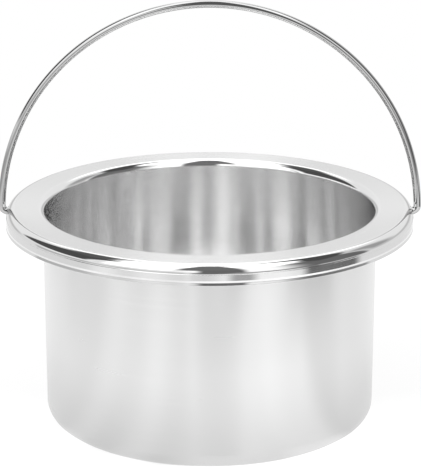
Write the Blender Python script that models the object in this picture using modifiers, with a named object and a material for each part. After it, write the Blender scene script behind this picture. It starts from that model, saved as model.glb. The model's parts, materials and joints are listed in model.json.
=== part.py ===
"""Candle melting pot: a drawn aluminium pot that hangs by its rim, with a swinging wire bail.

The pot stands on the XY plane with its base centred on the origin and its opening facing +Z.
The bail's two ends point inwards through holes in the rim's skirt, at -X and +X, so the bail
turns about an axis along X. It is modelled upright. Everything is in metres.
"""

import math

import bpy

# Pot, over all
POT_HEIGHT = 0.0755
RIM_RADIUS = 0.0700
SHEET = 0.0010

# Body of the pot, measured on its outside
BODY_TOP_RADIUS = 0.0574
BODY_BASE_RADIUS = 0.0570
BASE_CORNER_RADIUS = 0.0055

# Flat rim, from the opening's rounded lip to the rounded outer edge
LIP_RADIUS = 0.0026
RIM_EDGE_RADIUS = 0.0030

# Skirt, the band turned down from the rim: it steps out a little just under the rounded edge
SKIRT_DEPTH = 0.0068
SKIRT_STEP_OUT = 0.0002
SKIRT_STEP_HEIGHT = 0.00025
HEM_RADIUS = 0.0004

# Bail of round wire
WIRE_RADIUS = 0.0013
BAIL_HALF_WIDTH = 0.0715
BAIL_RISE = 0.0724
BAIL_BEND_RADIUS = 0.0020
BAIL_STUB_END = 0.0640
HINGE_DEPTH = 0.0027
HOLE_CLEARANCE = 0.00035

# Smoothness of the round shapes
POT_STEPS = 80
HOLE_SIDES = 24
ARCH_STEPS = 60
BEND_STEPS = 6

RIM_EDGE_OUTSIDE = RIM_RADIUS - SKIRT_STEP_OUT
HINGE_HEIGHT = POT_HEIGHT - HINGE_DEPTH


def clear_scene():
    """Remove whatever the scene holds."""
    for obj in list(bpy.data.objects):
        bpy.data.objects.remove(obj, do_unlink=True)


def make_collection(name):
    """Return a new collection linked to the scene."""
    collection = bpy.data.collections.new(name)
    bpy.context.scene.collection.children.link(collection)
    return collection


def make_metal(name, colour, roughness):
    """Return a metal material with one colour and roughness."""
    material = bpy.data.materials.new(name)
    material.use_nodes = True
    shader = material.node_tree.nodes["Principled BSDF"]
    shader.inputs["Base Color"].default_value = (*colour, 1.0)
    shader.inputs["Roughness"].default_value = roughness
    shader.inputs["Metallic"].default_value = 1.0
    return material


def pot_metal():
    """Bright drawn aluminium."""
    return make_metal("drawn_aluminium", (0.88, 0.88, 0.89), 0.28)


def bail_metal():
    """Polished stainless steel wire."""
    return make_metal("polished_steel_wire", (0.72, 0.72, 0.73), 0.15)


def arc(centre, radius, start, end, steps):
    """Points along an arc from one angle to another, in degrees."""
    points = []
    for step in range(steps + 1):
        angle = math.radians(start + (end - start) * step / steps)
        points.append((centre[0] + radius * math.cos(angle), centre[1] + radius * math.sin(angle)))
    return points


def pot_profile():
    """Half section of the sheet, from the middle of the floor inside to the middle underneath."""
    base_corner = (BODY_BASE_RADIUS - BASE_CORNER_RADIUS, BASE_CORNER_RADIUS)
    lip = (BODY_TOP_RADIUS - SHEET + LIP_RADIUS, POT_HEIGHT - LIP_RADIUS)
    rim_edge = (RIM_EDGE_OUTSIDE - RIM_EDGE_RADIUS, POT_HEIGHT - RIM_EDGE_RADIUS)
    hem = (RIM_RADIUS - HEM_RADIUS, POT_HEIGHT - SKIRT_DEPTH + HEM_RADIUS)
    step_bottom = POT_HEIGHT - RIM_EDGE_RADIUS - SKIRT_STEP_HEIGHT

    inside = [(0.0, SHEET)]
    inside += arc(base_corner, BASE_CORNER_RADIUS - SHEET, -90, 0, 6)
    inside += arc(lip, LIP_RADIUS, 180, 90, 6)

    rim = arc(rim_edge, RIM_EDGE_RADIUS, 90, 0, 8)
    rim += [(RIM_RADIUS, step_bottom)]
    rim += arc(hem, HEM_RADIUS, 0, -90, 3)
    rim += [(RIM_RADIUS - SHEET, POT_HEIGHT - SKIRT_DEPTH)]
    rim += [(RIM_RADIUS - SHEET, step_bottom)]
    rim += arc(rim_edge, RIM_EDGE_RADIUS - SHEET, 0, 90, 5)

    outside = arc(lip, LIP_RADIUS - SHEET, 90, 180, 4)
    outside += arc(base_corner, BASE_CORNER_RADIUS, 0, -90, 7)
    outside += [(0.0, 0.0)]
    return inside + rim + outside


def turned_piece(name, profile, collection):
    """A solid of revolution about Z from a profile that starts and ends on the axis."""
    mesh = bpy.data.meshes.new(name)
    vertices = [(radius, 0.0, height) for radius, height in profile]
    edges = [(index, index + 1) for index in range(len(profile) - 1)]
    mesh.from_pydata(vertices, edges, [])
    piece = bpy.data.objects.new(name, mesh)
    collection.objects.link(piece)
    screw = piece.modifiers.new("turn", "SCREW")
    screw.axis = "Z"
    screw.angle = math.tau
    screw.steps = POT_STEPS
    screw.render_steps = POT_STEPS
    screw.use_merge_vertices = True
    screw.merge_threshold = 0.00001
    screw.use_smooth_shade = True
    return piece


def make_hole_cutter(name, side, collection):
    """A short drill across the skirt at one end of the hinge axis; side is -1 or 1."""
    inner_end = BODY_TOP_RADIUS + 0.6 * (RIM_RADIUS - BODY_TOP_RADIUS)
    outer_end = RIM_RADIUS + 0.005
    bpy.ops.mesh.primitive_cylinder_add(
        vertices=HOLE_SIDES,
        radius=WIRE_RADIUS + HOLE_CLEARANCE,
        depth=outer_end - inner_end,
        location=(side * (inner_end + outer_end) / 2, 0.0, HINGE_HEIGHT),
        rotation=(0.0, math.radians(90), 0.0),
    )
    cutter = bpy.context.object
    cutter.name = name
    cutter.hide_render = True
    cutter.display_type = "WIRE"
    for owner in list(cutter.users_collection):
        owner.objects.unlink(cutter)
    collection.objects.link(cutter)
    return cutter


def make_pot(parts, cutters):
    """The pot: body, lip, flat rim and skirt drawn from one sheet, with the bail's two holes."""
    pot = turned_piece("pot_body", pot_profile(), parts)
    pot.data.materials.append(pot_metal())
    for name, side in (("left_hole", -1), ("right_hole", 1)):
        hole = pot.modifiers.new(name, "BOOLEAN")
        hole.operation = "DIFFERENCE"
        hole.object = make_hole_cutter(name, side, cutters)
    return pot


def bail_path():
    """Middle line of the bail's wire in XZ about the hinge axis, from its +X end to its -X end."""
    start_angle = math.asin(BAIL_BEND_RADIUS / BAIL_RISE)
    leg_x = BAIL_HALF_WIDTH * math.cos(start_angle)
    bend = (leg_x - BAIL_BEND_RADIUS, BAIL_BEND_RADIUS)
    end = [(BAIL_STUB_END, 0.0)]
    end += arc(bend, BAIL_BEND_RADIUS, -90, 0, BEND_STEPS)

    arch = []
    for step in range(1, ARCH_STEPS):
        angle = start_angle + (math.pi - 2 * start_angle) * step / ARCH_STEPS
        arch.append((BAIL_HALF_WIDTH * math.cos(angle), BAIL_RISE * math.sin(angle)))

    other_end = [(-x, z) for x, z in reversed(end)]
    return end + arch + other_end


def make_bail(parts):
    """The bail: one length of wire, arched over the pot, with its ends bent in to hinge."""
    curve = bpy.data.curves.new("wire_bail", "CURVE")
    curve.dimensions = "3D"
    curve.bevel_depth = WIRE_RADIUS
    curve.bevel_resolution = 4
    curve.use_fill_caps = True
    path = bail_path()
    spline = curve.splines.new("POLY")
    spline.points.add(len(path) - 1)
    for point, (x, z) in zip(spline.points, path):
        point.co = (x, 0.0, z, 1.0)
    curve.materials.append(bail_metal())
    bail = bpy.data.objects.new("wire_bail", curve)
    bail.location = (0.0, 0.0, HINGE_HEIGHT)
    parts.objects.link(bail)
    return bail


def main():
    clear_scene()
    parts = make_collection("candle_melting_pot")
    cutters = make_collection("cutters")
    make_pot(parts, cutters)
    make_bail(parts)


main()
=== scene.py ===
"""Candle melting pot: a drawn aluminium pot with a polished rim and a swinging wire bail.

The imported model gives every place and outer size. The pot and the bail are made again here as fine
meshes that stand for the two solids of the model, with their metals, in a plain pale studio.
"""

import json
import math

import bmesh
import bpy
from bpy.props import FloatProperty, FloatVectorProperty, IntProperty, PointerProperty
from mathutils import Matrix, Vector


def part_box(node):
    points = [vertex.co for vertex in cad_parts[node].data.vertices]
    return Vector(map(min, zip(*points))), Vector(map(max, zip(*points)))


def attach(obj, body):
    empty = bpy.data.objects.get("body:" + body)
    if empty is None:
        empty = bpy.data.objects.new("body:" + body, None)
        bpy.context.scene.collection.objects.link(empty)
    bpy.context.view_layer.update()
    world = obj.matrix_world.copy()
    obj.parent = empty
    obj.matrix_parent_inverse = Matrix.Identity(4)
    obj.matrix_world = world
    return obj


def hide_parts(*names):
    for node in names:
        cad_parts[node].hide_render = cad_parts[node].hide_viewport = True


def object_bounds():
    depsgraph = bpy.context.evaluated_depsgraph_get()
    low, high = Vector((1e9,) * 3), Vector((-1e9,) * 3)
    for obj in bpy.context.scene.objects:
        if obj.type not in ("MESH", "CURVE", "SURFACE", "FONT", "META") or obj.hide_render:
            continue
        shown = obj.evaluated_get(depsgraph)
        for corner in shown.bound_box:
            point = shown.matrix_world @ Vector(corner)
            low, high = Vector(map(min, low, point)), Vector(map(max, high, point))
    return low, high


bl_info = {
    "name": "Candle Melting Pot",
    "version": (1, 0, 0),
    "blender": (4, 5, 0),
    "location": "3D Viewport > Sidebar > Melting Pot",
    "description": "Makes a drawn aluminium melting pot with a wire bail, and a studio for it",
    "category": "Add Mesh",
}

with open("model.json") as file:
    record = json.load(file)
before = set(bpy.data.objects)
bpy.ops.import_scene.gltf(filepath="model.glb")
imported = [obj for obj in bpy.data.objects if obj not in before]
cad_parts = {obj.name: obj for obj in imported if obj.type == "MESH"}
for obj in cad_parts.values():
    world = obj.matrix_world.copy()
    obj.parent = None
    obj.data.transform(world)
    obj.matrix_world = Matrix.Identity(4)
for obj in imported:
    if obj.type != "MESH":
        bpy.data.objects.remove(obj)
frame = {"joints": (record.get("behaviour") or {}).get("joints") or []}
CAD_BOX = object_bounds()
POT_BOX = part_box("pot_body")
BAIL_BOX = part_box("wire_bail")
HINGE = Vector(frame["joints"][0]["pos_m"])

MILLIMETRE = 0.001
DEGREES = 180 / math.pi
ON_AXIS = 1e-9

# Small bends of the pot's section: its step, the shallow groove round the skirt, and the hem
STEP_ROUND = 0.00006
STEP_TOP_BEND = 0.00004
GROOVE_HEIGHT = 0.0010
GROOVE_HALF_WIDTH = 0.0006
GROOVE_DEPTH = 0.00010
GROOVE_BEND = 0.0005
GROOVE_BROW = 0.00002
HEM_FLARE = 0.00008
HEM_BEND = 0.00012
HEM_INNER_BEND = 0.0003

# Fineness of the pot's mesh
SECTION_ARC_STEPS = 18
LONGEST_RUN = 0.0055
SUPPORT_MARGIN = 0.00015
POT_SHARP_ANGLE = 28.0

# Drills for the bail's holes: how far they reach inside and outside the skirt
DRILL_SIDES = 64
DRILL_INSIDE = 0.004
DRILL_OUTSIDE = 0.005

# Fineness and rounded ends of the bail's wire
STUB_STEPS = 6
BEND_STEPS = 12
END_ROUNDING = 0.0003
END_STEPS = 4
BAIL_SHARP_ANGLE = 40.0

# Turned lines: how many there are to a metre of the section, and how they run round the axis
LINE_PITCH = 900.0
LINE_RUN = 0.9

# Zones of the pot's finish and of its painted shade, in millimetres: how soft their edges are, and where
# they start
ZONE_SOFT = 0.5
LIP_ZONE_DEPTH = 2.4
SKIRT_ZONE_WIDTH = 0.7
# Height over which the outside's colour is painted darker towards the base: painted shade
PAINTED_SHADE_HEIGHT = 36.0

# Floor: the ring over which the pot's painted contact shadow fades, and the ring over which its light
# grows
SHADOW_START = 0.0518
SHADOW_END = 0.0536
SHADOW_LEVEL = 0.30
NEAR_RADIUS = 0.06
FAR_RADIUS = 0.25

# The floor's light goes from black to a full grey, which stands for its brightest level
BRIGHTEST = 1.5
FULL_GREY = 1.2

# Camera and light paths
CAMERA_SENSOR = 36.0
CAMERA_CLIP = 0.05
LIGHT_BOUNCES = 24


# Settings that a user may change


class PotSettings(bpy.types.PropertyGroup):
    """Sizes and finish of the pot."""

    rim_radius: FloatProperty(
        name="Rim radius", description="Outside of the skirt below its step",
        default=POT_BOX[1].x, min=0.0, subtype="DISTANCE", unit="LENGTH",
    )
    height: FloatProperty(
        name="Height", description="From the base to the top of the rim",
        default=POT_BOX[1].z - POT_BOX[0].z, min=0.0, subtype="DISTANCE", unit="LENGTH",
    )
    sheet: FloatProperty(
        name="Sheet", description="Thickness of the aluminium sheet",
        default=0.0010, min=0.0001, subtype="DISTANCE", unit="LENGTH",
    )
    body_top_radius: FloatProperty(
        name="Body top radius", description="Outside of the body just under the rim",
        default=0.0574, min=0.0, subtype="DISTANCE", unit="LENGTH",
    )
    body_base_radius: FloatProperty(
        name="Body base radius", description="Outside of the body just over the base corner",
        default=0.0570, min=0.0, subtype="DISTANCE", unit="LENGTH",
    )
    base_corner: FloatProperty(
        name="Base corner", description="Outer radius of the bend between body and base",
        default=0.0055, min=0.0, subtype="DISTANCE", unit="LENGTH",
    )
    lip: FloatProperty(
        name="Lip", description="Radius of the rounded edge round the opening",
        default=0.0026, min=0.0, subtype="DISTANCE", unit="LENGTH",
    )
    rim_edge: FloatProperty(
        name="Rim edge", description="Radius of the polished outer edge of the rim",
        default=0.0030, min=0.0, subtype="DISTANCE", unit="LENGTH",
    )
    skirt_depth: FloatProperty(
        name="Skirt depth", description="From the top of the rim to the skirt's lower edge",
        default=0.0068, min=0.0, subtype="DISTANCE", unit="LENGTH",
    )
    step_out: FloatProperty(
        name="Step out", description="How far the skirt steps out below the rim edge",
        default=0.0002, min=0.0, subtype="DISTANCE", unit="LENGTH",
    )
    step_height: FloatProperty(
        name="Step height", description="Height over which the skirt steps out",
        default=0.00014, min=0.0, subtype="DISTANCE", unit="LENGTH",
    )
    hole_clearance: FloatProperty(
        name="Hole clearance", description="Gap round the bail's wire in the skirt's holes",
        default=0.00035, min=0.0, subtype="DISTANCE", unit="LENGTH",
    )
    steps_round: IntProperty(
        name="Steps round", description="Number of facets round the pot", default=288, min=24,
    )
    colour: FloatVectorProperty(
        name="Aluminium", description="Colour of the bare metal",
        default=(0.77, 0.77, 0.77), min=0.0, max=1.0, size=3, subtype="COLOR",
    )
    # Painted light: the metal inside is given a lighter colour than outside, which brightens the hollow
    inside_painted_light_colour: FloatVectorProperty(
        name="Aluminium inside", description="Colour of the metal inside, painted lighter",
        default=(0.92, 0.92, 0.92), min=0.0, max=1.0, size=3, subtype="COLOR",
    )
    satin: FloatProperty(
        name="Satin roughness", description="Roughness of the drawn surfaces",
        default=0.26, min=0.0, max=1.0, subtype="FACTOR",
    )
    inside_satin: FloatProperty(
        name="Inside roughness", description="Roughness of the wall inside",
        default=0.115, min=0.0, max=1.0, subtype="FACTOR",
    )
    polish: FloatProperty(
        name="Polished roughness", description="Roughness of the lip, the rim's edge and the skirt",
        default=0.06, min=0.0, max=1.0, subtype="FACTOR",
    )
    # Painted shade: how much the outside's colour is darkened at the base, standing in for shade there
    base_painted_shade: FloatProperty(
        name="Base wear", description="How much darker the outside is at the base",
        default=0.21, min=0.0, max=1.0, subtype="FACTOR",
    )
    brushing: FloatProperty(
        name="Brushing", description="How much the turned lines stretch a reflection",
        default=0.92, min=0.0, max=1.0, subtype="FACTOR",
    )


class BailSettings(bpy.types.PropertyGroup):
    """Sizes and finish of the wire bail."""

    bend_radius: FloatProperty(
        name="Bend radius", description="Middle line of the bend at each end",
        default=0.0020, min=0.0, subtype="DISTANCE", unit="LENGTH",
    )
    stub_end: FloatProperty(
        name="Stub end", description="Distance from the middle at which each end stops",
        default=0.0640, min=0.0, subtype="DISTANCE", unit="LENGTH",
    )
    steps_along: IntProperty(
        name="Steps along", description="Number of rings along the arch", default=360, min=24,
    )
    steps_round: IntProperty(
        name="Steps round", description="Number of sides of the wire", default=40, min=8,
    )
    colour: FloatVectorProperty(
        name="Steel", description="Colour of the wire",
        default=(0.50, 0.50, 0.50), min=0.0, max=1.0, size=3, subtype="COLOR",
    )
    polish: FloatProperty(
        name="Roughness", description="Roughness of the polished wire",
        default=0.05, min=0.0, max=1.0, subtype="FACTOR",
    )


class StudioSettings(bpy.types.PropertyGroup):
    """The floor, the light and the camera."""

    floor_radius: FloatProperty(
        name="Floor radius", description="Radius of the round floor",
        default=0.26, min=0.1, subtype="DISTANCE", unit="LENGTH",
    )
    floor_colour: FloatVectorProperty(
        name="Floor", description="Colour of the pale floor",
        default=(0.14, 0.14, 0.14), min=0.0, max=1.0, size=3, subtype="COLOR",
    )
    floor_glow: FloatProperty(
        name="Floor glow", description="Light given by the lit floor", default=0.94, min=0.0,
    )
    wall_light: FloatProperty(
        name="Wall light", description="Brightness of the wall behind the pot", default=1.0, min=0.0,
    )
    top_light: FloatProperty(
        name="Top light", description="Brightness of the panel overhead", default=2.0, min=0.0,
    )
    side_light: FloatProperty(
        name="Side light", description="Brightness of the wall on the camera's side",
        default=1.35, min=0.0,
    )
    dark: FloatProperty(
        name="Dark", description="Brightness of the dark cards", default=0.085, min=0.0,
    )
    camera_distance: FloatProperty(
        name="Camera distance", description="From the camera to the point it looks at",
        default=0.820, min=0.05, subtype="DISTANCE", unit="LENGTH",
    )
    camera_tilt: FloatProperty(
        name="Camera tilt", description="How steeply the camera looks down",
        default=math.radians(17.2), subtype="ANGLE", unit="ROTATION",
    )
    camera_lens: FloatProperty(
        name="Lens", description="Focal length on a 36 mm sensor", default=181.4, min=1.0,
    )
    aim_height: FloatProperty(
        name="Aim height", description="Height of the point the camera looks at",
        default=0.0639, min=0.0, subtype="DISTANCE", unit="LENGTH",
    )
    aim_side: FloatProperty(
        name="Aim side", description="How far right of the middle the camera looks",
        default=0.0003, subtype="DISTANCE", unit="LENGTH",
    )


# Shader maths


class Signal:
    """One socket of a shader. Arithmetic on it adds Math nodes to the shader."""

    def __init__(self, shader, socket):
        self.shader = shader
        self.socket = socket

    def __add__(self, other):
        return self.shader.maths("ADD", self, other)

    def __radd__(self, other):
        return self.shader.maths("ADD", other, self)

    def __sub__(self, other):
        return self.shader.maths("SUBTRACT", self, other)

    def __rsub__(self, other):
        return self.shader.maths("SUBTRACT", other, self)

    def __mul__(self, other):
        return self.shader.maths("MULTIPLY", self, other)

    def __rmul__(self, other):
        return self.shader.maths("MULTIPLY", other, self)

    def __truediv__(self, other):
        return self.shader.maths("DIVIDE", self, other)

    def __rtruediv__(self, other):
        return self.shader.maths("DIVIDE", other, self)

    def __pow__(self, other):
        return self.shader.maths("POWER", self, other)

    def __rpow__(self, other):
        return self.shader.maths("POWER", other, self)

    def __neg__(self):
        return self.shader.maths("MULTIPLY", self, -1.0)


class Shader:
    """The node tree of one material or world."""

    def __init__(self, owner):
        owner.use_nodes = True
        self.tree = owner.node_tree
        self.tree.nodes.clear()

    def node(self, kind, settings=None, inputs=None, output=0):
        """Add a node: its settings first, then the values or links of its sockets."""
        node = self.tree.nodes.new(kind)
        for name, value in (settings or {}).items():
            setattr(node, name, value)
        inputs = inputs or {}
        pairs = inputs.items() if isinstance(inputs, dict) else enumerate(inputs)
        for key, value in pairs:
            if isinstance(value, Signal):
                self.tree.links.new(value.socket, node.inputs[key])
            else:
                node.inputs[key].default_value = value
        return Signal(self, node.outputs[output]) if node.outputs else None

    def maths(self, operation, *values):
        return self.node("ShaderNodeMath", {"operation": operation}, values)

    def larger(self, first, second):
        return self.maths("MAXIMUM", first, second)

    def split(self, vector):
        """The three parts of a vector."""
        first = self.node("ShaderNodeSeparateXYZ", inputs=[vector])
        return [Signal(self, part) for part in first.socket.node.outputs]

    def join(self, x, y, z):
        return self.node("ShaderNodeCombineXYZ", inputs=[x, y, z])

    def direction(self, x, y):
        """The way from the middle to a place, in degrees: 0 at the camera's side, + to its right."""
        return self.maths("ARCTAN2", x, -y) * DEGREES

    def rise(self, value, start, end):
        """0 before start, 1 after end, smooth between them."""
        settings = {"interpolation_type": "SMOOTHSTEP"}
        return self.node("ShaderNodeMapRange", settings, [value, start, end, 0.0, 1.0])

    def spread(self, value, low, high, new_low, new_high):
        """A value between low and high, brought to lie between two new limits."""
        return self.node("ShaderNodeMapRange", inputs=[value, low, high, new_low, new_high])

    def band(self, value, low, high, soft):
        """1 between low and high, 0 outside them, with soft edges."""
        return self.rise(value, low - soft, low + soft) * (1 - self.rise(value, high - soft, high + soft))

    def mix(self, share, first, second):
        """A plain blend between two numbers."""
        return first + (second - first) * share

    def blend(self, share, first, second):
        """A blend between two colours, with a share from 0 to 1."""
        settings = {"data_type": "RGBA"}
        return self.node("ShaderNodeMix", settings, {0: share, 6: first, 7: second}, 2)

    def noise(self, vector, scale, detail=2.0, rough=0.5, depth=None):
        """Soft noise about 0.5, in three dimensions or, with a depth, in four."""
        inputs = {"Vector": vector, "Scale": scale, "Detail": detail, "Roughness": rough}
        settings = {}
        if depth is not None:
            settings["noise_dimensions"] = "4D"
            inputs["W"] = depth
        return self.node("ShaderNodeTexNoise", settings, inputs)

    def bump(self, relief, strength, distance):
        inputs = {"Strength": strength, "Distance": distance, "Height": relief}
        return self.node("ShaderNodeBump", inputs=inputs)

    def finish(self, surface, output="ShaderNodeOutputMaterial"):
        """Join the surface to the tree's output."""
        self.node(output, inputs={"Surface": surface})


def grey(level):
    return (level, level, level, 1.0)


# Mesh helpers


def rounded(corners, arc_steps):
    """A chain of points through (radius, height, bend) corners, with each corner bent to an arc."""
    points = []
    for index, (x, y, bend) in enumerate(corners):
        here = Vector((x, y))
        if bend == 0.0:
            points.append(here)
            continue
        before = (Vector(corners[index - 1][:2]) - here).normalized()
        after = (Vector(corners[index + 1][:2]) - here).normalized()
        half = before.angle(after) / 2
        centre = here + (before + after).normalized() * (bend / math.sin(half))
        start = here + before * (bend / math.tan(half)) - centre
        end = here + after * (bend / math.tan(half)) - centre
        turn = start.angle_signed(end)
        count = max(3, round(arc_steps * abs(turn) / (math.pi / 2)))
        for step in range(count + 1):
            angle = -turn * step / count
            cos, sin = math.cos(angle), math.sin(angle)
            points.append(centre + Vector((start.x * cos - start.y * sin, start.x * sin + start.y * cos)))
    return points


def with_support(points, longest, margin):
    """The same chain with long straight runs divided, and a point just inside each of their ends."""
    chain = [points[0]]
    for start, end in zip(points, points[1:]):
        length = (end - start).length
        if length > 4 * margin:
            count = max(1, math.ceil((length - 2 * margin) / longest))
            places = [margin + (length - 2 * margin) * step / count for step in range(count + 1)]
            chain += [start + (end - start) * (place / length) for place in places]
        chain.append(end)
    return chain


def finished_mesh(name, shape):
    """Turn a finished bmesh into a mesh, with its faces pointing out."""
    bmesh.ops.recalc_face_normals(shape, faces=shape.faces)
    mesh = bpy.data.meshes.new(name)
    shape.to_mesh(mesh)
    shape.free()
    return mesh


def turned_mesh(name, chain, steps):
    """A closed mesh turned about Z from a chain that starts and ends on the axis."""
    shape = bmesh.new()
    rings = []
    for point in chain:
        if point.x < ON_AXIS:
            rings.append([shape.verts.new((0.0, 0.0, point.y))])
            continue
        ring = []
        for step in range(steps):
            angle = math.tau * step / steps
            place = (point.x * math.cos(angle), point.x * math.sin(angle), point.y)
            ring.append(shape.verts.new(place))
        rings.append(ring)
    for inner, outer in zip(rings, rings[1:]):
        for step in range(steps):
            following = (step + 1) % steps
            corners = [inner[step % len(inner)], outer[step % len(outer)]]
            if len(outer) > 1:
                corners.append(outer[following])
            if len(inner) > 1:
                corners.append(inner[following])
            shape.faces.new(corners)
    return finished_mesh(name, shape)


def rounded_end(radius, rounding, steps):
    """Rings of a rounded wire end, from its face inwards: the distance from the end, and the radius."""
    rings = []
    for step in range(steps + 1):
        angle = math.pi / 2 * step / steps
        rings.append((rounding * (1 - math.cos(angle)), radius - rounding + rounding * math.sin(angle)))
    return rings


def wire_mesh(name, line, radius, sides, middle):
    """A round wire along a line of XZ points about a middle, with its two ends rounded over."""
    end = rounded_end(radius, END_ROUNDING, END_STEPS)
    start_way = (line[1] - line[0]).normalized()
    end_way = (line[-1] - line[-2]).normalized()
    stations = [(line[0] + start_way * inset, start_way, size) for inset, size in end]
    for before, here, after in zip(line, line[1:], line[2:]):
        stations.append((here, (after - before).normalized(), radius))
    stations += [(line[-1] - end_way * inset, end_way, size) for inset, size in reversed(end)]

    shape = bmesh.new()
    rings = []
    for centre, along, size in stations:
        out = Vector((along.y, 0.0, -along.x))
        ring = []
        for step in range(sides):
            angle = math.tau * step / sides
            place = Vector((centre.x, math.sin(angle) * size, centre.y)) + out * math.cos(angle) * size
            ring.append(shape.verts.new(middle + place))
        rings.append(ring)
    for first, second in zip(rings, rings[1:]):
        for step in range(sides):
            following = (step + 1) % sides
            shape.faces.new([first[step], first[following], second[following], second[step]])
    shape.faces.new(rings[0])
    shape.faces.new(rings[-1])
    return finished_mesh(name, shape)


def drilled(mesh, radius, near, far, centre):
    """The mesh with a round hole drilled along X on each side, from near to far off the middle."""
    block = bpy.data.objects.new("drilled", mesh)
    bpy.context.scene.collection.objects.link(block)
    drills = []
    for side in (-1, 1):
        bpy.ops.mesh.primitive_cylinder_add(
            vertices=DRILL_SIDES, radius=radius, depth=far - near,
            location=(side * (near + far) / 2, centre.y, centre.z), rotation=(0.0, math.pi / 2, 0.0),
        )
        drill = bpy.context.object
        cut = block.modifiers.new("hole", "BOOLEAN")
        cut.operation = "DIFFERENCE"
        cut.object = drill
        drills.append(drill)
    bpy.context.view_layer.update()
    graph = bpy.context.evaluated_depsgraph_get()
    result = bpy.data.meshes.new_from_object(block.evaluated_get(graph))
    for used in (block, *drills):
        bpy.data.objects.remove(used)
    result.materials.clear()
    return result


def smooth(mesh, sharp_degrees):
    mesh.shade_smooth()
    mesh.set_sharp_from_angle(angle=math.radians(sharp_degrees))


def place_piece(name, mesh, body, node, material):
    """Put a finished mesh in the scene, on its body, in the place of its solid."""
    mesh.name = name
    mesh.materials.append(material)
    piece = bpy.data.objects.new(name, mesh)
    bpy.context.scene.collection.objects.link(piece)
    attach(piece, body)
    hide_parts(node)


# Metals


def turned_lines(shader, x, y, radius, height):
    """Noise drawn out along the turning direction: fine lines round the axis."""
    run = shader.join(x / radius * LINE_RUN, y / radius * LINE_RUN, radius * LINE_PITCH)
    return shader.noise(run, 1.0, detail=3.0, rough=0.62, depth=height * LINE_PITCH)


def polished_zones(shader, pot, out_mm, height_mm):
    """Where the pot is polished: its lip, rim edge and skirt, and then its skirt alone."""
    top = pot.height / MILLIMETRE
    rim = pot.rim_radius / MILLIMETRE
    lip_out = (pot.body_top_radius - pot.sheet + pot.lip) / MILLIMETRE
    lip_low = top - LIP_ZONE_DEPTH
    edge_in = rim - (pot.step_out + pot.rim_edge) / MILLIMETRE
    edge_low = top - pot.rim_edge / MILLIMETRE
    skirt_in = rim - SKIRT_ZONE_WIDTH

    near_top = shader.rise(height_mm, lip_low, lip_low + ZONE_SOFT)
    on_lip = near_top * (1 - shader.rise(out_mm, lip_out - ZONE_SOFT, lip_out))
    on_edge = shader.rise(out_mm, edge_in, edge_in + ZONE_SOFT)
    below_edge = 1 - shader.rise(height_mm, edge_low - 0.1, edge_low)
    on_skirt = shader.rise(out_mm, skirt_in, skirt_in + 0.3) * below_edge
    return shader.larger(on_lip, on_edge), on_skirt


def inner_side(shader, pot, out_mm, height_mm):
    """1 on the inside of the sheet and 0 on its outside, told apart by the base corner's bend."""
    bend = pot.base_corner / MILLIMETRE
    bend_middle = pot.body_base_radius / MILLIMETRE - bend
    past_bend = shader.larger(out_mm - bend_middle, 0.0)
    below_bend = shader.larger(bend - height_mm, 0.0)
    depth = (past_bend * past_bend + below_bend * below_bend) ** 0.5
    return 1 - shader.rise(depth, bend - 0.55, bend - 0.1)


def aluminium(pot):
    """Drawn aluminium: satin with fine turned lines, polished at its lip, rim edge and skirt."""
    material = bpy.data.materials.new("drawn_aluminium")
    shader = Shader(material)
    place = shader.node("ShaderNodeTexCoord", output="Object")
    x, y, z = shader.split(place)
    radius = (x * x + y * y) ** 0.5
    out_mm = radius / MILLIMETRE
    height_mm = z / MILLIMETRE
    lines = turned_lines(shader, x, y, radius, z)
    cloud = shader.noise(place, 38.0, detail=3.0, rough=0.55)
    speckle = shader.noise(place, 2600.0, detail=2.0, rough=0.6)
    polished, on_skirt = polished_zones(shader, pot, out_mm, height_mm)
    within = inner_side(shader, pot, out_mm, height_mm)

    # The wall inside is smoother than the outside, but less so towards its top
    wall_satin = pot.inside_satin + shader.rise(height_mm, 50.0, 62.0) * 0.05
    satin = shader.mix(within, pot.satin, wall_satin)
    dull = satin + (lines - 0.5) * 0.05 + (cloud - 0.5) * 0.04
    bright = pot.polish + on_skirt * 0.03 + (lines - 0.5) * 0.04
    roughness = shader.mix(polished, dull, bright)

    # Painted shade: outside, the metal's colour is painted a little darker towards the base, standing in
    # for shade there
    tone = shader.spread(lines + (cloud - 0.5) * 0.5, 0.2, 0.8, 0.965, 1.0)
    painted_shade = (1 - shader.rise(height_mm, 0.2, PAINTED_SHADE_HEIGHT)) * (1 - within) * pot.base_painted_shade
    # The lighter colour inside is painted light that brightens the hollow
    metal = shader.blend(within, (*pot.colour, 1.0), (*pot.inside_painted_light_colour, 1.0))
    colour = shader.blend(tone * (1 - painted_shade), grey(0.0), metal)

    shader.finish(shader.node("ShaderNodeBsdfPrincipled", inputs={
        "Base Color": colour, "Metallic": 1.0, "Roughness": roughness,
        "Anisotropic": pot.brushing, "Anisotropic Rotation": 0.25,
        "Normal": shader.bump(lines * 0.7 + speckle * 0.3, 0.04, 0.00002),
    }))
    return material


def polished_steel(bail):
    """Polished steel wire with a faint grain."""
    material = bpy.data.materials.new("polished_steel_wire")
    shader = Shader(material)
    place = shader.node("ShaderNodeTexCoord", output="Object")
    cloud = shader.noise(place, 260.0, detail=3.0, rough=0.55)
    grain = shader.noise(place, 1900.0, detail=2.0, rough=0.6)
    roughness = bail.polish + (cloud - 0.5) * 0.03 + (grain - 0.5) * 0.02
    tone = shader.spread(cloud, 0.3, 0.7, 0.95, 1.0)
    shader.finish(shader.node("ShaderNodeBsdfPrincipled", inputs={
        "Base Color": shader.blend(tone, grey(0.0), (*bail.colour, 1.0)),
        "Metallic": 1.0, "Roughness": roughness, "Normal": shader.bump(grain, 0.03, 0.00002),
    }))
    return material


# Floor and studio


def with_pools(shader, turn, level, pools):
    """A level of light with pools added to it, each given by its left, right, softness and gain."""
    for left, right, soft, gain in pools:
        level = level + shader.band(turn, left, right, soft) * gain
    return level


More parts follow.
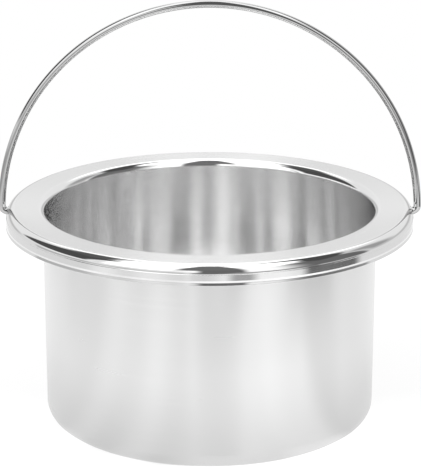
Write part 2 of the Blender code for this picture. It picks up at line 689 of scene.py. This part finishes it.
def floor_light(shader, x, y):
    """How brightly each place of the floor is lit: brighter in front, dark where the pot stands."""
    level = with_pools(shader, shader.direction(x, y), 0.95, (
        (-96.0, 96.0, 10.0, 0.05),
        (-12.0, 60.0, 6.0, 0.11),
        (-66.0, -52.0, 5.0, 0.12),
        (-36.0, -24.0, 5.0, 0.10),
        (-6.0, 28.0, 6.0, 0.10),
        (29.0, 56.0, 6.0, 0.24),
        (62.0, 84.0, 8.0, 0.04),
    ))
    radius = (x * x + y * y) ** 0.5
    # Painted shadow: the floor's glow is darkened in a ring round the pot's foot
    painted_contact_shadow = shader.mix(shader.rise(radius, SHADOW_START, SHADOW_END), SHADOW_LEVEL, 1.0)
    return level * shader.mix(shader.rise(radius, NEAR_RADIUS, FAR_RADIUS), 0.98, 1.06) * painted_contact_shadow


def pale_floor(studio):
    """A matt floor, white to the eye, that glows softly as if lit from below: its glow is painted light,
    with brighter pools in front and a painted contact shadow round the pot.
    """
    material = bpy.data.materials.new("pale_floor")
    shader = Shader(material)
    place = shader.node("ShaderNodeTexCoord", output="Object")
    cloud = shader.noise(place, 6.0, detail=3.0, rough=0.5)
    tone = shader.spread(cloud, 0.3, 0.7, 0.985, 1.0)
    x, y, _ = shader.split(place)
    lit = shader.blend(floor_light(shader, x, y) / BRIGHTEST, grey(0.0), grey(FULL_GREY))
    shader.finish(shader.node("ShaderNodeBsdfPrincipled", inputs={
        "Base Color": shader.blend(tone, grey(0.0), (*studio.floor_colour, 1.0)),
        "Roughness": 0.9, "Specular IOR Level": 0.0,
        "Emission Color": lit, "Emission Strength": studio.floor_glow * BRIGHTEST / FULL_GREY,
    }))
    return material


class Room:
    """The studio's walls: a brightness for each direction, with cards laid one over another."""

    def __init__(self, shader, level):
        towards = shader.node("ShaderNodeTexCoord", output="Generated")
        x, y, z = shader.split(towards)
        self.shader = shader
        self.turn = shader.direction(x, y)
        self.climb = shader.maths("ARCSINE", z) * DEGREES
        self.level = level

    def across(self, left, right, soft):
        """The directions between two turns, in degrees."""
        return self.shader.band(self.turn, left, right, soft)

    def between(self, low, high, soft):
        """The directions between two climbs above the floor's level, in degrees."""
        return self.shader.band(self.climb, low, high, soft)

    def lay(self, cover, level):
        self.level = self.shader.mix(cover, self.level, level)

    def card(self, left, right, low, high, soft, level):
        """Lay a card over the turns from left to right and the climbs from low to high."""
        self.lay(self.across(left, right, soft) * self.between(low, high, soft), level)


def light_cards(room, studio):
    """The bright walls, the light overhead and the light cards on the left and behind the pot."""
    rise = room.shader.rise
    room.lay(room.across(-105.0, 105.0, 14.0), studio.side_light)
    room.lay(rise(room.climb, 54.0, 66.0), studio.top_light)
    room.card(-70.0, -18.0, -20.0, 36.0, 8.0, 0.90)
    room.card(-62.0, -21.0, 13.0, 44.0, 4.0, 1.7)

    # The foot of the walls takes up the floor's light, and dims just under the pot's level
    foot_light = with_pools(room.shader, room.turn, 0.94, (
        (-68.0, -54.0, 6.0, 0.20),
        (-40.0, -24.0, 6.0, 0.15),
        (-58.0, 2.0, 8.0, 0.10),
        (4.0, 46.0, 8.0, 0.46),
        (46.0, 84.0, 9.0, 0.24),
    ))
    room.lay(1 - rise(room.climb, 2.0, 10.0), foot_light * 0.95)
    room.card(-10.0, 62.0, -12.0, 0.0, 2.5, room.level * 0.30)
    room.card(-110.0, -13.0, -12.0, 0.0, 2.5, room.level * 0.62)

    # Lamps high on the camera's left and right, and one behind the pot
    room.card(-66.0, -26.0, 40.0, 60.0, 5.0, 2.4)
    room.card(28.0, 56.0, 44.0, 60.0, 5.0, 2.4)
    behind = 1 - room.across(-145.0, 145.0, 8.0)
    room.lay(behind * room.between(38.0, 62.0, 5.0), 1.7)


def dark_cards(room, studio):
    """The dark cards that draw the dark lines in the lip, the rim's edge, the skirt and the bail."""
    rise = room.shader.rise

    # On the right: a large card that fades in, one near the floor, a grey one and a slanting strip
    fade_in = rise(room.turn, 34.0, 60.0) * room.between(-6.0, 50.0, 4.0)
    room.lay(fade_in * room.across(0.0, 96.0, 3.0), 2.0 * studio.dark)
    room.card(54.0, 90.0, -26.0, -10.0, 4.0, 0.14)
    room.card(97.0, 122.0, 4.0, 44.0, 8.0, 0.42)
    slanted = room.climb - (room.turn - 90.0) * 0.3
    strip = room.shader.band(slanted, 41.0, 62.0, 3.0)
    room.lay(room.across(70.0, 150.0, 5.0) * strip, studio.dark)

    # On the left: a large card, and another behind and above it
    room.card(-127.0, -72.0, 11.0, 58.0, 3.0, studio.dark)
    room.card(-156.0, -92.0, 48.0, 65.0, 4.0, 1.4 * studio.dark)

    # Behind the pot, low down: a grey skirting
    far_side = 1 - room.across(-128.0, 102.0, 6.0)
    room.lay(far_side * room.between(0.0, 9.0, 3.0), 0.62)

    # Over and round the camera: a tall card, a small one overhead, and two below the tall one
    room.card(-19.0, 20.0, 28.0, 82.0, 3.0, 2.2 * studio.dark)
    room.card(-42.0, 62.0, 80.0, 100.0, 3.0, 0.30)
    room.card(-6.0, 20.0, -10.0, 32.0, 3.0, 2.0 * studio.dark)
    room.card(11.0, 25.0, -40.0, -2.0, 4.0, 0.45)


def studio_light(studio):
    """Soft white light from all round, broken by dark cards. Seen directly, the studio is white."""
    world = bpy.data.worlds.new("studio")
    shader = Shader(world)
    room = Room(shader, studio.wall_light)
    light_cards(room, studio)
    dark_cards(room, studio)
    walls = shader.node("ShaderNodeBackground", inputs=[shader.join(room.level, room.level, room.level)])
    white = shader.node("ShaderNodeBackground", inputs=[grey(1.0)])
    seen = shader.node("ShaderNodeLightPath", output="Is Camera Ray")
    shader.finish(shader.node("ShaderNodeMixShader", inputs=[seen, walls, white]), "ShaderNodeOutputWorld")
    return world


# Operators


def wire_radius():
    return (BAIL_BOX[1].y - BAIL_BOX[0].y) / 2


class MELTINGPOT_OT_pot(bpy.types.Operator):
    """Turn the pot from its section, drill its two holes and give it its metal"""

    bl_idname = "melting_pot.make_pot"
    bl_label = "Make pot"

    def section(self, pot):
        """Half section of the sheet, from the middle of the floor inside to the middle underneath."""
        sheet = pot.sheet
        rim = pot.rim_radius
        base = POT_BOX[0].z
        top = base + pot.height
        hem = top - pot.skirt_depth
        edge = rim - pot.step_out
        edge_low = top - pot.rim_edge
        groove = hem + GROOVE_HEIGHT
        corners = [
            (0.0, base + sheet, 0.0),
            (pot.body_base_radius - sheet, base + sheet, pot.base_corner - sheet),
            (pot.body_top_radius - sheet, top, pot.lip),
            (edge, top, pot.rim_edge),
            (edge, edge_low - STEP_ROUND, STEP_TOP_BEND),
            (rim - STEP_ROUND, edge_low - pot.step_height, STEP_ROUND),
            (rim + GROOVE_BROW, groove + GROOVE_HALF_WIDTH, GROOVE_HALF_WIDTH),
            (rim - GROOVE_DEPTH, groove, GROOVE_BEND),
            (rim + HEM_FLARE, hem, HEM_BEND),
            (rim - sheet, hem, HEM_INNER_BEND),
            (rim - sheet, top - sheet, pot.rim_edge - sheet),
            (pot.body_top_radius, top - sheet, pot.lip - sheet),
            (pot.body_base_radius, base, pot.base_corner),
            (0.0, base, 0.0),
        ]
        return with_support(rounded(corners, SECTION_ARC_STEPS), LONGEST_RUN, SUPPORT_MARGIN)

    def execute(self, context):
        pot = context.scene.melting_pot
        mesh = turned_mesh("turned_pot", self.section(pot), pot.steps_round)
        near = pot.rim_radius - pot.sheet - DRILL_INSIDE
        far = pot.rim_radius + DRILL_OUTSIDE
        mesh = drilled(mesh, wire_radius() + pot.hole_clearance, near, far, HINGE)
        smooth(mesh, POT_SHARP_ANGLE)
        place_piece("turned_pot", mesh, "pot", "pot_body", aluminium(pot))
        return {"FINISHED"}


class MELTINGPOT_OT_bail(bpy.types.Operator):
    """Bend the round wire bail and give it its metal"""

    bl_idname = "melting_pot.make_bail"
    bl_label = "Make bail"

    def middle_line(self, bail, wire):
        """Points of the wire's middle line in XZ about the hinge, from +X to -X."""
        half_width = BAIL_BOX[1].x - wire
        rise = BAIL_BOX[1].z - wire - HINGE.z
        start = math.asin(bail.bend_radius / rise)
        leg = half_width * math.cos(start)
        centre = Vector((leg - bail.bend_radius, bail.bend_radius))
        stub = centre.x - bail.stub_end
        end = [Vector((bail.stub_end + stub * step / STUB_STEPS, 0.0)) for step in range(STUB_STEPS)]
        for step in range(BEND_STEPS + 1):
            angle = -math.pi / 2 + math.pi / 2 * step / BEND_STEPS
            end.append(centre + Vector((math.cos(angle), math.sin(angle))) * bail.bend_radius)
        arch = []
        for step in range(1, bail.steps_along):
            angle = start + (math.pi - 2 * start) * step / bail.steps_along
            arch.append(Vector((half_width * math.cos(angle), rise * math.sin(angle))))
        other_end = [Vector((-point.x, point.y)) for point in reversed(end)]
        return end + arch + other_end

    def execute(self, context):
        bail = context.scene.melting_pot_bail
        wire = wire_radius()
        line = self.middle_line(bail, wire)
        mesh = wire_mesh("bent_bail", line, wire, bail.steps_round, HINGE)
        smooth(mesh, BAIL_SHARP_ANGLE)
        place_piece("bent_bail", mesh, "bail", "wire_bail", polished_steel(bail))
        return {"FINISHED"}


class MELTINGPOT_OT_stage(bpy.types.Operator):
    """Set the floor, the light and the camera"""

    bl_idname = "melting_pot.make_stage"
    bl_label = "Make stage"

    def make_floor(self, studio):
        bpy.ops.mesh.primitive_circle_add(
            vertices=128, radius=studio.floor_radius, fill_type="NGON", location=(0.0, 0.0, POT_BOX[0].z),
        )
        floor = bpy.context.object
        floor.name = "floor"
        floor.data.materials.append(pale_floor(studio))

    def make_camera(self, scene, studio):
        camera_data = bpy.data.cameras.new("camera")
        camera_data.sensor_width = CAMERA_SENSOR
        camera_data.lens = studio.camera_lens
        camera_data.clip_start = CAMERA_CLIP
        camera = bpy.data.objects.new("camera", camera_data)
        scene.collection.objects.link(camera)
        middle = (CAD_BOX[0] + CAD_BOX[1]) / 2
        aim = Vector((middle.x + studio.aim_side, middle.y, POT_BOX[0].z + studio.aim_height))
        back = Vector((0.0, -math.cos(studio.camera_tilt), math.sin(studio.camera_tilt)))
        camera.location = aim + back * studio.camera_distance
        camera.rotation_euler = (math.pi / 2 - studio.camera_tilt, 0.0, 0.0)
        scene.camera = camera

    def execute(self, context):
        scene = context.scene
        studio = scene.melting_pot_studio
        self.make_floor(studio)
        scene.world = studio_light(studio)
        scene.view_settings.view_transform = "Standard"
        scene.cycles.max_bounces = LIGHT_BOUNCES
        scene.cycles.glossy_bounces = LIGHT_BOUNCES
        self.make_camera(scene, studio)
        return {"FINISHED"}


class MELTINGPOT_PT_panel(bpy.types.Panel):
    """Lists the pieces of the melting pot"""

    bl_label = "Melting Pot"
    bl_idname = "MELTINGPOT_PT_panel"
    bl_space_type = "VIEW_3D"
    bl_region_type = "UI"
    bl_category = "Melting Pot"

    def draw(self, context):
        for operator in OPERATORS:
            self.layout.operator(operator.bl_idname)


OPERATORS = (MELTINGPOT_OT_pot, MELTINGPOT_OT_bail, MELTINGPOT_OT_stage)
CLASSES = (PotSettings, BailSettings, StudioSettings, *OPERATORS, MELTINGPOT_PT_panel)


def register():
    for cls in CLASSES:
        bpy.utils.register_class(cls)
    bpy.types.Scene.melting_pot = PointerProperty(type=PotSettings)
    bpy.types.Scene.melting_pot_bail = PointerProperty(type=BailSettings)
    bpy.types.Scene.melting_pot_studio = PointerProperty(type=StudioSettings)


def unregister():
    del bpy.types.Scene.melting_pot_studio
    del bpy.types.Scene.melting_pot_bail
    del bpy.types.Scene.melting_pot
    for cls in reversed(CLASSES):
        bpy.utils.unregister_class(cls)


def main():
    register()
    bpy.ops.melting_pot.make_pot()
    bpy.ops.melting_pot.make_bail()
    bpy.ops.melting_pot.make_stage()


if __name__ == "__main__":
    main()
